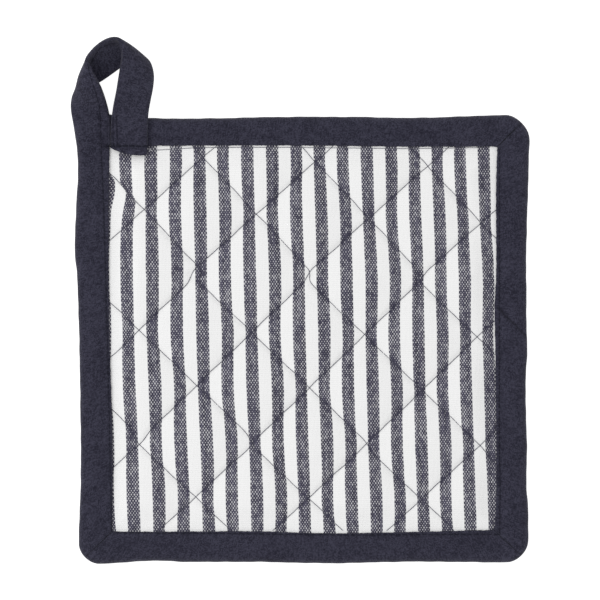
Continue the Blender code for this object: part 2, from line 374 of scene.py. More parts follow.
def wander(place: Any, spacing: float, seed: float) -> Any:
    """A smooth, repeatable wobble.

    Args:
        place: where along the cloth, in millimetres.
        spacing: length of the slowest wave.
        seed: shifts the waves, so that no two features wobble alike.

    Returns:
        A number or an array, mostly between -1 and 1.
    """
    turn = math.tau * np.asarray(place) / spacing
    return sum(np.sin(pace * turn + shift * seed) for pace, shift in WAVES) / 2


def spaced(path: Path, step: float) -> list[Place]:
    """Walks along a path.

    Args:
        path: the points that it goes through.
        step: length of a step.

    Returns:
        Points one step apart.
    """
    points = np.array(path, float)
    lengths = np.concatenate(([0.0], np.cumsum(np.linalg.norm(np.diff(points, axis=0), axis=1))))
    walked = np.arange(0.0, lengths[-1], step)
    x, y = np.interp(walked, lengths, points[:, 0]), np.interp(walked, lengths, points[:, 1])
    return list(zip(x.tolist(), y.tolist()))


def place_tree(paths: Iterable[Path], step: float = 0.5) -> KDTree:
    """Collects points along some paths, to find the nearest one.

    Args:
        paths: the paths.
        step: distance between two points.

    Returns:
        The points, ready to be searched.
    """
    places = [place for path in paths for place in spaced(path, step)]
    tree = KDTree(len(places))
    for index, (x, y) in enumerate(places):
        tree.insert((x, y, 0), index)
    tree.balance()
    return tree


def numbered(rows: Sequence[tuple[float, ...]]) -> np.ndarray:
    """A table whose first column numbers its rows."""
    return np.array([(index, *row) for index, row in enumerate(rows)], float)


def read_rows(table: np.ndarray, at: float) -> np.ndarray:
    """Reads a table on a smooth curve through its rows.

    Args:
        table: rows of numbers, the first of which rises from row to row.
        at: a value of the first column.

    Returns:
        The values of all the other columns.
    """
    places, values = table[:, 0], table[:, 1:]
    row = int(np.clip(np.searchsorted(places, at) - 1, 0, len(places) - 2))
    span = places[row + 1] - places[row]
    t = float(np.clip((at - places[row]) / span, 0, 1))

    def slope(here: int) -> np.ndarray:
        """Slope of each column at a row."""
        low, high = max(here - 1, 0), min(here + 1, len(places) - 1)
        return (values[high] - values[low]) / (places[high] - places[low])

    near = (1 + 2 * t) * (1 - t) ** 2 * values[row] + t * (1 - t) ** 2 * span * slope(row)
    far = t * t * (3 - 2 * t) * values[row + 1] - t * t * (1 - t) * span * slope(row + 1)
    return near + far


def add_piece(name: str, mesh: bpy.types.Mesh, material: bpy.types.Material) -> bpy.types.Object:
    """Puts a piece in the scene, smooth-shaded and riding on the body, and reports it.

    Args:
        name: the piece's name.
        mesh: its mesh, in metres and in its place.
        material: its finish.

    Returns:
        The piece.
    """
    mesh.name = name
    mesh.shade_smooth()
    mesh.materials.clear()
    mesh.materials.append(material)
    piece = bpy.data.objects.new(name, mesh)
    bpy.context.scene.collection.objects.link(piece)
    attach(piece, BODY)
    LOG.info("%s: %d faces", name, len(mesh.polygons))
    return piece


def finish_piece(name: str, shape: bmesh.types.BMesh, material: bpy.types.Material) -> bpy.types.Object:
    """Turns a bmesh in millimetres into a piece.

    Args:
        name: the piece's name.
        shape: its shape, which is used up.
        material: its finish.

    Returns:
        The piece.
    """
    bmesh.ops.recalc_face_normals(shape, faces=shape.faces[:])
    bmesh.ops.scale(shape, vec=(MM, MM, MM), verts=shape.verts)
    mesh = bpy.data.meshes.new(name)
    shape.to_mesh(mesh)
    shape.free()
    return add_piece(name, mesh, material)


# --- Shader graphs -----------------------------------------------------------------------------


class Graph:
    """A material's nodes. Sums are written as Python expressions on Value."""

    def __init__(self, name: str) -> None:
        """Starts a material with one Principled shader.

        Args:
            name: the material's name.
        """
        self.material = bpy.data.materials.new(name)
        self.material.use_nodes = True
        self.tree = self.material.node_tree
        self.shader = self.tree.nodes["Principled BSDF"]

    def node(self, kind: str, settings: dict[str, Any] | None = None,
             inputs: dict[Any, Any] | None = None) -> Any:
        """Adds a node.

        Args:
            kind: its type.
            settings: its settings, which are set first.
            inputs: the values or links of its sockets.

        Returns:
            The node.
        """
        made = self.tree.nodes.new(kind)
        for key, setting in (settings or {}).items():
            setattr(made, key, setting)
        for key, given in (inputs or {}).items():
            self.feed(made.inputs[key], given)
        return made

    def feed(self, socket: Any, given: Any) -> None:
        """Gives a socket its value or its link.

        Args:
            socket: the input socket.
            given: a Value or a socket to link, or a plain value to set.
        """
        if isinstance(given, Value):
            given = given.socket
        if isinstance(given, bpy.types.NodeSocket):
            self.tree.links.new(given, socket)
        else:
            socket.default_value = given

    def finish(self, inputs: dict[str, Any]) -> bpy.types.Material:
        """Feeds the shader.

        Args:
            inputs: what each named socket of the shader is given.

        Returns:
            The finished material.
        """
        for name, given in inputs.items():
            self.feed(self.shader.inputs[name], given)
        return self.material

    def coordinates(self, kind: str, settings: dict[str, Any], output: str) -> list["Value"]:
        """Splits a place into its three numbers.

        Args:
            kind: type of the node that gives the place.
            settings: that node's settings.
            output: its output socket.

        Returns:
            The place's three numbers.
        """
        place = self.node(kind, settings).outputs[output]
        split = self.node("ShaderNodeSeparateXYZ", inputs={0: place})
        return [Value(self, socket) for socket in split.outputs]

    def noise(self, patches: Patches, across: "Value", along: "Value") -> "Value":
        """Smooth noise around 0, up to half the patches' amount either way.

        Args:
            patches: how fast and how far it changes.
            across: first cloth coordinate.
            along: second cloth coordinate.

        Returns:
            The noise at each place.
        """
        second = along * patches.along
        if patches.shift:
            second = second + patches.shift
        spread = {0: across * patches.across, 1: second}
        where = self.node("ShaderNodeCombineXYZ", inputs=spread).outputs[0]
        inputs = {"Vector": where, "Scale": 1.0, "Detail": patches.detail, "Roughness": 0.5}
        made = self.node("ShaderNodeTexNoise", {"noise_dimensions": "2D"}, inputs)
        return (Value(self, made.outputs[0]) - 0.5) * patches.amount

    def unevenness(self, sizes: Sequence[Patches], across: "Value", along: "Value") -> "Value":
        """Patches of several sizes together.

        Args:
            sizes: the patches.
            across: first cloth coordinate.
            along: second cloth coordinate.

        Returns:
            The sum of their noises.
        """
        total = self.noise(sizes[0], across, along)
        for patches in sizes[1:]:
            total = total + self.noise(patches, across, along)
        return total

    def chance(self, column: Any, row: Any) -> "Value":
        """A fixed random number for each pair of whole numbers.

        Args:
            column: number of a lengthwise thread.
            row: number of a crosswise thread.

        Returns:
            The random number, from 0 to 1.
        """
        where = self.node("ShaderNodeCombineXYZ", inputs={0: column, 1: row}).outputs[0]
        made = self.node("ShaderNodeTexWhiteNoise", {"noise_dimensions": "2D"}, {"Vector": where})
        return Value(self, made.outputs[0])

    def crease(self) -> "Value":
        """How creased the cloth is, stored on the mesh's points: it paints shade into the creases and
        grooves.
        """
        made = self.node("ShaderNodeAttribute", {"attribute_name": "crease"})
        return Value(self, made.outputs["Fac"])

    def mix(self, share: Any, first: Any, second: Any) -> Any:
        """Mixes two colours.

        Args:
            share: how much of the second, from 0 to 1.
            first: a socket or a plain colour.
            second: a socket or a plain colour.

        Returns:
            The output socket.
        """
        settings = {"data_type": "RGBA", "blend_type": "MIX", "clamp_factor": True}
        return self.node("ShaderNodeMix", settings, {0: share, 6: first, 7: second}).outputs[2]

    def relief(self, height: "Value", depth: float, strength: float) -> Any:
        """Turns a height into a normal.

        Args:
            height: the height, in parts of the depth.
            depth: the depth, in millimetres.
            strength: how much of it shows.

        Returns:
            The normal's socket.
        """
        inputs = {"Strength": strength, "Distance": depth * MM, "Height": height}
        return self.node("ShaderNodeBump", inputs=inputs).outputs[0]


class Value:
    """One number in a node tree, with the usual arithmetic."""

    def __init__(self, graph: Graph, socket: Any) -> None:
        """Keeps the graph that new nodes go into, and the socket that gives the number."""
        self.graph = graph
        self.socket = socket

    def math(self, operation: str, *others: Any) -> "Value":
        """Adds a Math node.

        Args:
            operation: what it works out.
            others: its inputs after this number.

        Returns:
            The result.
        """
        inputs = {index + 1: other for index, other in enumerate(others)}
        made = self.graph.node("ShaderNodeMath", {"operation": operation}, {0: self, **inputs})
        return Value(self.graph, made.outputs[0])

    def __add__(self, other: Any) -> "Value":
        """This number plus another."""
        return self.math("ADD", other)

    __radd__ = __add__

    def __sub__(self, other: Any) -> "Value":
        """This number less another."""
        return self.math("SUBTRACT", other)

    def __rsub__(self, other: Any) -> "Value":
        """Another number less this one."""
        return self.math("MULTIPLY", -1.0).math("ADD", other)

    def __mul__(self, other: Any) -> "Value":
        """This number times another."""
        return self.math("MULTIPLY", other)

    __rmul__ = __mul__

    def __truediv__(self, other: Any) -> "Value":
        """This number divided by another."""
        return self.math("DIVIDE", other)

    def __pow__(self, other: Any) -> "Value":
        """This number to a power."""
        return self.math("POWER", other)

    def __mod__(self, other: Any) -> "Value":
        """What is left of this number past whole multiples of another."""
        return self.math("FLOORED_MODULO", other)

    def __lt__(self, other: Any) -> "Value":
        """1 where this number is below another, else 0."""
        return self.math("LESS_THAN", other)

    def __abs__(self) -> "Value":
        """This number without its sign."""
        return self.math("ABSOLUTE")

    def floor(self) -> "Value":
        """The whole number below."""
        return self.math("FLOOR")

    def sine(self) -> "Value":
        """The sine of this number of half turns."""
        return self.math("MULTIPLY", math.pi).math("SINE")

    def rising(self, low: float, high: float) -> "Value":
        """A smooth step.

        Args:
            low: 0 up to here.
            high: 1 from here.

        Returns:
            The step, from 0 to 1.
        """
        inputs = {"Value": self, "From Min": low, "From Max": high}
        made = self.graph.node("ShaderNodeMapRange", {"interpolation_type": "SMOOTHSTEP"}, inputs)
        return Value(self.graph, made.outputs[0])


# --- Finishes ----------------------------------------------------------------------------------


class WovenThreads(NamedTuple):
    """Number of the lengthwise thread, which thread is over, and chance at a crossing.

    Over is above 0 where the lengthwise thread is on top, and below 0 where the crosswise one is.
    """

    column: Value
    over: Value
    crossing: Value


@dataclass(frozen=True)
class Weave:
    """A plain weave: how far apart its threads lie, in millimetres, and how they stray, in threads."""

    lengthwise: float
    crosswise: float
    lengthwise_stray: Patches
    crosswise_stray: Patches

    def threads(self, graph: Graph, across: Value, along: Value) -> WovenThreads:
        """Sets out the threads over the cloth.

        Args:
            graph: the material's nodes.
            across: cloth coordinate across the lengthwise threads.
            along: cloth coordinate along them.

        Returns:
            The threads at each place.
        """
        column = across / self.lengthwise + graph.noise(self.lengthwise_stray, across, along)
        row = along / self.crosswise + graph.noise(self.crosswise_stray, across, along)
        over = column.sine() * row.sine()
        number = column.floor()
        return WovenThreads(number, over, graph.chance(number, row.floor()))


@dataclass(frozen=True)
class StripedCotton:
    """White cotton with dark lengthwise stripes: the crosswise thread is white throughout, but where it
    crosses a dark stripe it is drawn partly covered and with painted shade.
    """

    weave: Weave = Weave(0.5909, 0.9, Patches(0.35, 0.2, 0.5), Patches(0.2, 0.4, 0.5, shift=40.0))
    stripe_threads: int = 9
    dark_from: float = -3.66
    white: Colour = (0.82, 0.82, 0.82, 1.0)
    dark: Colour = (0.04, 0.038, 0.06, 1.0)
    worn_dye_and_painted_shade: Colour = (0.1, 0.095, 0.14, 1.0)
    shadow: Colour = (0.0, 0.0, 0.0, 1.0)
    thread_tones: float = 0.5
    dye: Patches = Patches(0.5, 0.12, 0.8)
    patches: tuple[Patches, ...] = (Patches(0.4, 0.3, 0.6, 3.0), Patches(0.1, 0.08, 0.6))
    slubs: Patches = Patches(0.09, 1.1, 1.0)
    slubs_from: float = 0.17
    slubs_to: float = 0.3
    slub_cover: float = 0.3
    dark_cover: float = 0.485
    crossing_cover: float = 0.65
    crease_shade_cover: float = 0.25
    outermost_cover: float = 0.3
    outermost_from: float = 3.5
    outermost_to: float = 3.9
    softness: float = 0.2
    pressed_and_shaded: float = 0.43
    valley_width: float = 0.35
    valley_shade: float = 0.08
    crease_shade: float = 0.03
    thread_depth: float = 0.12
    relief: float = 0.5
    roughness: float = 0.92
    shine: float = 0.1

    def make(self) -> bpy.types.Material:
        """Mixes the cloth from its cloth coordinates and its creases.

        Returns:
            The material.
        """
        graph = Graph("striped_cotton")
        across, along, _ = graph.coordinates("ShaderNodeUVMap", {"uv_map": "cloth"}, "UV")
        across = across - self.dark_from
        threads = self.weave.threads(graph, across, along)
        in_repeat = threads.column % float(2 * self.stripe_threads)
        dark_thread = in_repeat < float(self.stripe_threads)
        from_middle = abs(in_repeat - (self.stripe_threads - 1) / 2)
        outermost = from_middle.rising(self.outermost_from, self.outermost_to)
        tone = graph.chance(threads.column, 0.0) * self.thread_tones
        dyed = graph.mix(tone + graph.noise(self.dye, across, along), self.dark, self.worn_dye_and_painted_shade)
        lengthwise = graph.mix(dark_thread, self.white, dyed)
        # Across the dark stripes the white thread is mixed towards the dye: partly covered thread, partly
        # painted shade.
        crosswise = graph.mix(self.pressed_and_shaded * dark_thread, self.white, dyed)
        crease = graph.crease()
        slub = graph.noise(self.slubs, across, along).rising(self.slubs_from, self.slubs_to)
        cover = graph.unevenness(self.patches, across, along) + self.dark_cover
        # Painted crease shade: beside the quilting lines more lengthwise thread shows, which darkens the
        # dark stripes.
        cover = cover + (threads.crossing - 0.5) * self.crossing_cover + crease * self.crease_shade_cover
        cover = cover - slub * self.slub_cover - outermost * self.outermost_cover
        white_over = (0.5 - threads.over - cover).rising(0.5 - self.softness, 0.5 + self.softness)
        woven = graph.mix(white_over, lengthwise, crosswise)
        # Painted shade in the weave's valleys and in the creases, mixed towards the shadow colour.
        hill = abs(threads.over)
        valley = 1.0 - hill.rising(0.0, self.valley_width)
        shade = valley * self.valley_shade + crease * self.crease_shade
        return graph.finish({
            "Base Color": graph.mix(shade, woven, self.shadow),
            "Roughness": self.roughness,
            "Specular IOR Level": self.shine,
            "Normal": graph.relief(hill ** 0.5, self.thread_depth, self.relief),
        })


@dataclass(frozen=True)
class NavyCotton:
    """Plain-woven navy cotton, faintly ribbed and uneven."""

    weave: Weave = Weave(0.47, 0.44, Patches(0.35, 0.2, 0.6), Patches(0.2, 0.4, 0.6, shift=40.0))
    dark: Colour = (0.013, 0.0125, 0.023, 1.0)
    light: Colour = (0.043, 0.042, 0.066, 1.0)
    shadow: Colour = (0.004, 0.004, 0.007, 1.0)
    patches: tuple[Patches, ...] = (
        Patches(1.5, 0.3, 1.0),
        Patches(0.07, 0.09, 0.6),
        Patches(0.3, 0.35, 0.6),
    )
    lightness: float = 0.1
    # painted highlight on the tops of the threads
    crown_highlight: float = 0.6
    crossing_tone: float = 0.9
    crease_shade: float = 0.6
    thread_depth: float = 0.1
    relief: float = 0.7
    roughness: float = 0.88
    shine: float = 0.1
    sheen: float = 0.1
    sheen_roughness: float = 0.5

    def make(self) -> bpy.types.Material:
        """Mixes the cloth from its cloth coordinates and its creases.

        Returns:
            The material.
        """
        graph = Graph("navy_cotton")
        along, across, _ = graph.coordinates("ShaderNodeUVMap", {"uv_map": "cloth"}, "UV")
        threads = self.weave.threads(graph, along, across)
        hill = abs(threads.over) ** 0.5
        tone = graph.unevenness(self.patches, along, across) + self.lightness
        # Painted highlight: the tops of the threads are lighter.
        tone = tone + (threads.crossing - 0.5) * self.crossing_tone + hill * self.crown_highlight
        cloth = graph.mix(tone, self.dark, self.light)
        # Painted shade: the crease layer darkens the cloth towards the shadow colour.
        return graph.finish({
            "Base Color": graph.mix(graph.crease() * self.crease_shade, cloth, self.shadow),
            "Roughness": self.roughness,
            "Specular IOR Level": self.shine,
            "Sheen Weight": self.sheen,
            "Sheen Roughness": self.sheen_roughness,
            "Normal": graph.relief(hill, self.thread_depth, self.relief),
        })


@dataclass(frozen=True)
class SewingThread:
    """Twisted cotton sewing thread."""

    colour: Colour = (0.04, 0.04, 0.06, 1.0)
    twist: float = 0.45
    slant: float = 0.6
    highlight: float = 1.8
    roughness: float = 0.8
    shine: float = 0.1

    def make(self, name: str) -> bpy.types.Material:
        """Stripes the thread's twist along it.

        Args:
            name: the material's name.

        Returns:
            The material.
        """
        graph = Graph(name)
        x, y, _ = graph.coordinates("ShaderNodeTexCoord", {}, "Object")
        ply = abs(((x + y * self.slant) / (self.twist * MM)).sine())
        lighter = tuple(channel * self.highlight for channel in self.colour[:3]) + (1.0,)
        return graph.finish({
            "Base Color": graph.mix(ply, self.colour, lighter),
            "Roughness": self.roughness,
            "Specular IOR Level": self.shine,
        })


@dataclass(frozen=True)
class PaleFloor:
    """A softly lit white table that shows no hard shadow."""

    colour: Colour = (0.4, 0.4, 0.4, 1.0)
    glow_colour: Colour = (1.0, 1.0, 1.0, 1.0)
    glow: float = 0.92
    roughness: float = 0.8

    def make(self) -> bpy.types.Material:
        """Returns the material."""
        return Graph("pale_floor").finish({
            "Base Color": self.colour,
            "Roughness": self.roughness,
            "Emission Color": self.glow_colour,
            "Emission Strength": self.glow,
        })


# --- The quilted pad ---------------------------------------------------------------------------


class Family(Enum):
    """The two families of quilting lines."""

    FALLING = 0
    RISING = 1


@dataclass(frozen=True)
class Quilting:
    """The diagonal quilting, sewn in three passes that don't quite meet."""

    passes: tuple[QuiltPass, ...] = QUILT_PASSES
    step: float = 2.7
    spacing: float = 34.0
    stray: float = 0.3
    stray_length: float = 21.0
    line_step: float = 1.0
    easing: int = 3
    reach: Bounds = Bounds(-86.2, 87.4, -85.8, 86.9)

    def phases(self, x: Any, y: Any) -> tuple[Any, Any]:
        """Blends the passes into each other.

        Args:
            x: where across the pad.
            y: where up the pad.

        Returns:
            Phases of the falling and the rising lines: a line runs wherever one is whole.
        """
        fall = rise = covered = 0.0
        for sewn in self.passes:
            passed = smooth_step((sewn.top + sewn.slope * x - y) / self.step + 0.5)
            share = np.maximum(passed - covered, 0.0)
            covered = np.maximum(passed, covered)
            fall = fall + share * sewn.falling.at(x, y)
            rise = rise + share * sewn.rising.at(x, y)
        return fall, rise

    def distance(self, x: Any, y: Any) -> Any:
        """Measures how far it is to the nearest line.

        Args:
            x: where across the pad.
            y: where up the pad.

        Returns:
            The distance.
        """
        fall, rise = self.phases(x, y)
        gap = np.minimum(abs(fall - np.round(fall)), abs(rise - np.round(rise)))
        return gap * self.spacing

    def line(self, family: Family, number: int) -> list[Place]:
        """Follows one line down from the top seam to the bottom seam, where it lies on the pad.

        Args:
            family: which way it runs.
            number: which one it is, where its phase is this whole number.

        Returns:
            Points along it, which stray a little as hand-guided sewing does.
        """
        points, reach, half = [], self.reach, self.step / 2
        for y in np.arange(reach.top, reach.bottom, -self.line_step):
            low = -math.inf
            aside = float(wander(y, self.stray_length, number + 0.5 * family.value))
            for sewn in self.passes:
                lines = sewn.falling if family is Family.FALLING else sewn.rising
                x = lines.x_of(number, y)
                high = sewn.top + sewn.slope * x
                if low + half < y < high - half and reach.left < x < reach.right:
                    points.append((float(x) + self.stray * aside, float(y)))
                low = high
        return self.eased(points)

    def eased(self, points: list[Place]) -> list[Place]:
        """Rounds the bends of a line, as thread lies.

        Args:
            points: points along the line.

        Returns:
            The same points, moved a little.
        """
        for _ in range(self.easing):
            inner = [
                ((a[0] + 2 * b[0] + c[0]) / 4, (a[1] + 2 * b[1] + c[1]) / 4)
                for a, b, c in zip(points, points[1:], points[2:])
            ]
            points = [*points[:1], *inner, *points[-1:]]
        return points


@dataclass(frozen=True)
class StripeLay:
    """How the striped cloth lies on the pad: it leans, spreads at the left, and fills the diamonds."""

    shift: float = 0.25
    across: float = 0.00315
    lean: float = -0.02486
    spread: float = -0.000195
    twist: float = -0.0000445
    bow: float = 0.0000393
    rise_across: float = 0.012
    fullness: float = 1.2
    lifted_share: float = 0.6
    dome: float = 0.6
    edge_pull: float = 0.55
    edge_pull_left_of: float = -81.0
    edge_pull_width: float = 3.0
    edge_pull_above: float = -20.0
    edge_pull_height: float = 40.0
    line_from: float = 0.5
    line_width: float = 0.4
    pulls: tuple[Pull, ...] = STRIPE_PULLS

    def place(self, x: Any, y: Any, quilting: Quilting, front: Any) -> tuple[Any, Any]:
        """Finds the cloth's own coordinates at points of the pad.

        Args:
            x: where across the pad.
            y: where up the pad.
            quilting: where the lines run.
            front: true on the front, which alone is drawn aside in places.

        Returns:
            The places across and along the stripes.
        """
        moved = self.shift + self.across * x + self.lean * y
        moved = moved + self.spread * x * x + self.twist * x * y + self.bow * y * y
        fall, rise = quilting.phases(x, y)
        in_fall, in_rise = fall % 1.0, rise % 1.0
        crown = abs(np.sin(math.pi * in_fall) * np.sin(math.pi * in_rise)) ** self.dome
        moved = moved + self.fullness * crown * (in_fall + in_rise - 1)
        at_edge = smooth_step((self.edge_pull_left_of - x) / self.edge_pull_width)
        at_height = smooth_step((y - self.edge_pull_above) / self.edge_pull_height)
        moved = moved + self.edge_pull * at_edge * at_height
        under_line = smooth_step((in_fall - self.line_from) / self.line_width)
        for pull in self.pulls:
            near = np.exp(-((x - pull.x) ** 2 + (y - pull.y) ** 2) / pull.reach**2)
            share = pull.past_line + (1 - pull.past_line) * under_line
            moved = moved + front * pull.aside * near * share
        lifted = self.fullness * self.lifted_share * crown * (in_fall - in_rise)
        return x - moved, y - lifted + self.rise_across * x


@dataclass(frozen=True)
class QuiltedPad:
    """The filled pad: crowned diamonds between sewn channels, flat where it rests."""

    quilting: Quilting
    lay: StripeLay
    outline: Bounds = Bounds(-95.4, 97.0, -95.4, 95.6)
    seam: Bounds = Bounds(-84.6, 86.7, -85.2, 86.2)
    corner_cut: float = 7.0
    edge_low: float = 1.3
    edge_high: float = 4.3
    channel_low: float = 1.55
    channel_high: float = 4.75
    crown_low: float = -1.0
    crown_high: float = 7.1
    swell_width: float = 13.0
    crease_width: float = 1.0
    # painted shade: how far beside the quilting lines the cloth is darkened
    painted_crease_shade_width: float = 1.1
    crease_share: float = 0.17
    fullness: float = 0.75
    pucker: float = 0.06
    pucker_width: float = 3.0
    pucker_lean: float = 0.3
    pucker_across: float = 2.9
    pucker_up: float = 3.3
    dent: float = 0.10
    dents_across: Dents = Dents(0.4, 31.0, 1.3)
    dents_up: Dents = Dents(-0.3, 27.0, 2.1)
    fill: float = 0.35
    mesh_step: float = 1.6

    def swell(self, x: Any, y: Any) -> Any:
        """How full the pad is so near its seams.

        Args:
            x: where across the pad.
            y: where up the pad.

        Returns:
            0 at a seam and outside it, up to 1 well inside.
        """
        seam = self.seam
        across = np.minimum(x - seam.left, seam.right - x)
        inside = np.minimum(across, np.minimum(y - seam.bottom, seam.top - y))
        return smooth_step(inside / self.swell_width)

    def crown(self, x: Any, y: Any) -> Any:
        """How high the filling stands.

        Args:
            x: where across the pad.
            y: where up the pad.

        Returns:
            0 on a quilting line, up to 1 on top of a diamond.
        """
        fall, rise = self.quilting.phases(x, y)
        dome = abs(np.sin(math.pi * fall) * np.sin(math.pi * rise)) ** self.fullness
        crease = bell(self.quilting.distance(x, y), self.crease_width)
        return dome * (1 - self.crease_share) + (1 - crease) * self.crease_share

    def front(self, x: Any, y: Any) -> Any:
        """Height of the pad's front, with small puckers beside the sewing.

        Args:
            x: where across the pad.
            y: where up the pad.

        Returns:
            The height.
        """
        high = self.channel_high + (self.crown_high - self.channel_high) * self.crown(x, y)
        swell = self.swell(x, y)
        pucker = self.pucker * (bell(self.quilting.distance(x, y), self.pucker_width) * swell)
        pucker = pucker * np.sin(math.tau * (x + self.pucker_lean * y) / self.pucker_across)
        pucker = pucker * np.sin(math.tau * y / self.pucker_up)
        dent = self.dent * self.dents_across.at(x, y) * self.dents_up.at(y, x) * swell
        return self.edge_high + (high - self.edge_high) * swell + pucker + dent

    def back(self, x: Any, y: Any) -> Any:
        """Height of the pad's back, never below the table."""
        low = self.channel_low + (self.crown_low - self.channel_low) * self.crown(x, y)
        return np.maximum(self.edge_low + (low - self.edge_low) * self.swell(x, y), 0.0)

    def build(self, material: bpy.types.Material) -> bpy.types.Object:
        """Models the pad as one closed cloth skin.

        Args:
            material: the striped cotton.

        Returns:
            The pad, in place of its CAD solid.
        """
        shape = self.slab()
        places = np.array([vert.co for vert in shape.verts])
        x, y, front = places[:, 0], places[:, 1], places[:, 2] > 0.5
        heights = np.where(front, self.front(x, y), self.back(x, y))
        across, along = self.lay.place(x, y, self.quilting, front)
        # Painted crease shade: the crease layer darkens the cloth beside the quilting lines.
        crease = bell(self.quilting.distance(x, y), self.painted_crease_shade_width)
        shape.verts.index_update()
        cloth = shape.loops.layers.uv.new("cloth")
        worn_dye_and_painted_shade = shape.verts.layers.float.new("crease")
        for face in shape.faces:
            for loop in face.loops:
                loop[cloth].uv = (across[loop.vert.index], along[loop.vert.index])
        for vert in shape.verts:
            vert.co.z = heights[vert.index]
            vert[worn_dye_and_painted_shade] = crease[vert.index]
        piece = finish_piece("pad_cloth", shape, material)
        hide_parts("quilted_pad")
        return piece

    def slab(self) -> bmesh.types.BMesh:
        """Cuts out a flat slab with the pad's outline, finer on its front.

        Returns:
            The slab, its back at height 0 and its front at height 1.
        """
        outline = self.outline
        width, depth = outline.right - outline.left, outline.top - outline.bottom
        columns, rows = round(width / self.mesh_step), round(depth / self.mesh_step)
        middle = ((outline.left + outline.right) / 2, (outline.bottom + outline.top) / 2, 0)
        shape = bmesh.new()
        bmesh.ops.create_grid(shape, x_segments=columns, y_segments=rows, size=0.5)
        bmesh.ops.scale(shape, vec=(width, depth, 1), verts=shape.verts)
        bmesh.ops.translate(shape, vec=middle, verts=shape.verts)
        self.clip_corners(shape)
        thick = bmesh.ops.extrude_face_region(shape, geom=shape.faces[:])
        raised = {item for item in thick["geom"] if isinstance(item, bmesh.types.BMVert)}
        bmesh.ops.translate(shape, vec=(0, 0, 1), verts=list(raised))
        top = [edge for edge in shape.edges if all(vert.co.z > 0.5 for vert in edge.verts)]
        bmesh.ops.subdivide_edges(shape, edges=top, cuts=1, use_grid_fill=True)
        return shape

    def clip_corners(self, shape: bmesh.types.BMesh) -> None:
        """Cuts the four corners off, as they are inside the binding.

        Args:
            shape: the pad's flat outline.
        """
        outline, cut = self.outline, self.corner_cut
        for x, x_side in ((outline.left, -1), (outline.right, 1)):
            for y, y_side in ((outline.bottom, -1), (outline.top, 1)):
                bmesh.ops.bisect_plane(
                    shape,
                    geom=shape.verts[:] + shape.edges[:] + shape.faces[:],
                    plane_co=(x - x_side * cut, y, 0),
                    plane_no=(x_side, y_side, 0),
                    clear_outer=True,
                )


# --- The strip: binding and hanging loop -------------------------------------------------------


FOLD_HEIGHT = 2.85
SEAM_HEIGHT = 3.0
FRONT_HEIGHT = 4.0  # ring points above it are on the strip's front
FOLD_FADE, SEAM_FADE = 0.3, 0.05  # a mitre's crease fades out over these shares of the width
LOOP_REACH = (1.03, -0.02)  # in the loop, slope and start of a share of the width


@dataclass
class Station:
    """One section of the strip, at its place along it.

    Args:
        fold: the folded edge, which is the loop's outer edge.
        seam: the sewn edge, which is the loop's inner edge.
        face: direction that the strip's front faces.
        swell: how far the face bulges between its edges.
        on_pad: 1 where the strip wraps the pad, 0 where it is the loop.
        run: distance along the strip, for the weave.
        dip: how deep a mitre's fold is here.
        bow: how far the loop's cut end bows down between its corners.
    """

    fold: Vector
    seam: Vector
    face: Vector = field(default_factory=lambda: Vector((0, 0, 1)))
    swell: float = 0.0
    on_pad: float = 1.0
    run: float = 0.0
    dip: float = 0.0
    bow: float = 0.0

    def point(self, ring: RingPoint, half_thickness: float) -> Vector:
        """Places a point of the section's ring.

        Args:
            ring: the point.
            half_thickness: half the loop's thickness.

        Returns:
            Its place.
        """
        across = self.seam - self.fold
        wrapped = self.fold + across * ring.share
        wrapped.z = ring.height
        if ring.height > FRONT_HEIGHT:
            fade = smooth_step(ring.share / FOLD_FADE) * smooth_step((1 - ring.share) / SEAM_FADE)
            wrapped.z -= self.dip * float(fade)
        bulge = self.swell * 4 * ring.share * (1 - ring.share) + ring.level * half_thickness
        hung = self.fold + across * (LOOP_REACH[0] * ring.share + LOOP_REACH[1]) + self.face * bulge
        hung.y -= self.bow * 4 * ring.share * (1 - ring.share)
        return hung.lerp(wrapped, self.on_pad)


@dataclass(frozen=True)
class Corner:
    """A mitre in its place: the centres of its fold's arc and of its seam's tiny arc."""

    mitre: Mitre
    fold: Place
    seam: Place

    @classmethod
    def between(cls, mitre: Mitre, x_end: Side, y_end: Side, x_sign: int, y_sign: int) -> "Corner":
        """Fits a mitre to the two sides that meet in it.

        Args:
            mitre: its form.
            x_end: last row of the left or right side.
            y_end: last row of the top or bottom side.
            x_sign: 1 at the right, -1 at the left.
            y_sign: 1 at the top, -1 at the bottom.

        Returns:
            The corner.
        """
        fold = (x_sign * (x_end.fold - mitre.radius), y_sign * (y_end.fold - mitre.radius))
        seam = (x_sign * (x_end.seam - mitre.seam_radius), y_sign * (y_end.seam - mitre.seam_radius))
        return cls(mitre, fold, seam)

    @property
    def across(self) -> Place:
        """Where the fold and the seam start to turn, along the top or the bottom."""
        return self.fold[0], self.seam[0]

    @property
    def up(self) -> Place:
        """Where the fold and the seam start to turn, along the left or the right side."""
        return self.fold[1], self.seam[1]


